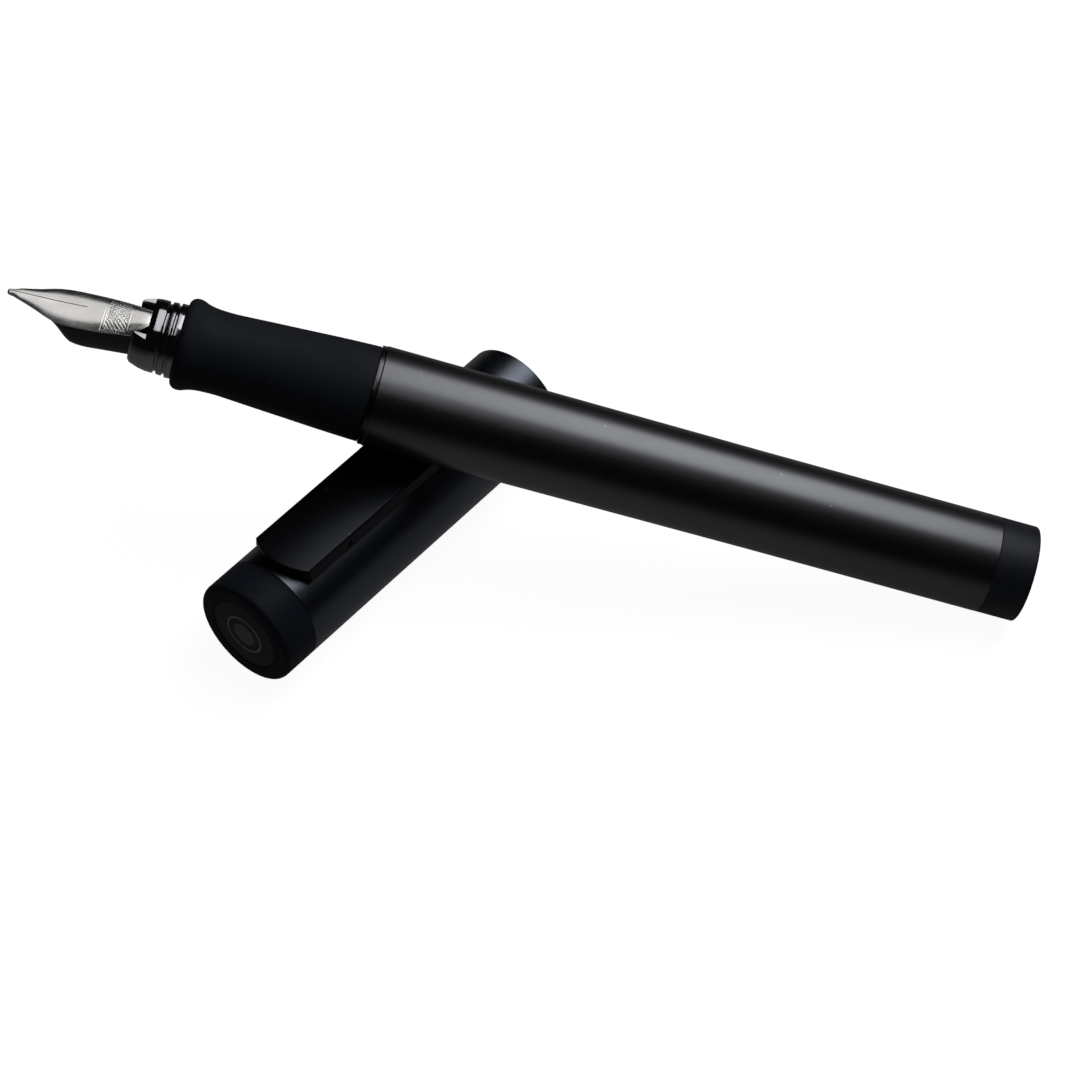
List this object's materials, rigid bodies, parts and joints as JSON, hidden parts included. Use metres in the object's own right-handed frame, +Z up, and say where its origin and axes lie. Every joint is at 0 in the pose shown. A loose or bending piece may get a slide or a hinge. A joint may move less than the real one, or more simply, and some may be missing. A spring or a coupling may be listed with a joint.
{
  "type": "fountain pen",
  "caption": "Uncapped fountain pen with soft grip and steel nib, lying across its own cap on the broad sprung clip.",
  "frame": {"origin": "centre of the cap's mouth", "axes": "+X out of the cap's mouth along the cap's axis, +Z up from the surface it lies on, +Y to the left of +X"},
  "size_m": [0.0749, 0.112, 0.0345],
  "materials": {
    "black_anodised": "satin black anodised",
    "clip_black": "satin black, fine blasted",
    "black_plastic": "matte moulded, slightly blue black",
    "disc_black": "satin inlay with turned rings",
    "liner_plastic": "moulded, dark grey",
    "grip_rubber": "soft matte, dusty",
    "nib_steel": "polished stainless steel",
    "ring_steel": "bright turned steel",
    "smoky_gloss": "smoky black, polished",
    "feed_plastic": "black, wetted by ink",
    "core_plastic": "moulded, with thread",
    "sleeve_brass": "machined, dull",
    "clear_plastic": "clear moulded",
    "converter_metal": "bright plated",
    "knob_plastic": "moulded, fluted",
    "rod_plastic": "moulded white, threaded",
    "seal_plastic": "soft sealing plastic",
    "spring_steel": "drawn wire and ground pin"
  },
  "bodies": {
    "cap": {"cap_tube": "black_anodised", "cap_finial": "black_plastic", "finial_disc": "disc_black", "inner_cap": "liner_plastic", "clip_bracket": "spring_steel", "clip_pin": "spring_steel", "clip_spring": "spring_steel"},
    "clip": {"clip": "clip_black"},
    "barrel": {"barrel_tube": "black_anodised", "thread_sleeve": "sleeve_brass", "end_plug": "black_plastic"},
    "ring": {"seam_ring": "ring_steel"},
    "section": {"section_core": "core_plastic", "grip_sleeve": "grip_rubber", "nib": "nib_steel", "feed": "feed_plastic", "nib_collar": "smoky_gloss", "converter_tube": "clear_plastic", "converter_band": "converter_metal"},
    "knob": {"converter_knob": "knob_plastic"},
    "piston": {"piston_rod": "rod_plastic", "piston_head": "seal_plastic"}
  },
  "joints": [
    {"name": "clip_open", "type": "hinge", "parent": "cap", "child": "clip", "pos_m": [-0.0371, 0, 0.0072], "axis": [0, -1, 0], "range_deg": [0, 4], "stiffness_Nm_per_rad": 0.3},
    {"name": "pen_lift", "type": "slide", "parent": "clip", "child": "barrel", "axis": [0, 0, 1], "range_m": [0, 0.06]},
    {"name": "section_advance", "type": "slide", "parent": "barrel", "child": "ring", "axis": [-0.4957, 0.8416, 0.2146], "range_m": [0, 0.0072]},
    {"name": "section_turn", "type": "hinge", "parent": "ring", "child": "section", "pos_m": [-0.02318, 0.00337, 0.01662], "axis": [-0.4957, 0.8416, 0.2146], "range_deg": [0, 2160]},
    {"name": "knob_turn", "type": "hinge", "parent": "section", "child": "knob", "pos_m": [-0.00088, -0.0345, 0.00696], "axis": [-0.4957, 0.8416, 0.2146], "range_deg": [0, 2880]},
    {"name": "piston_draw", "type": "slide", "parent": "section", "child": "piston", "axis": [0.4957, -0.8416, -0.2146], "range_m": [0, 0.016]}
  ],
  "couplings": [
    {"joint": "section_turn", "follows": "section_advance", "rad_per_m": 5236},
    {"joint": "knob_turn", "follows": "piston_draw", "rad_per_m": 3141.6}
  ]
}
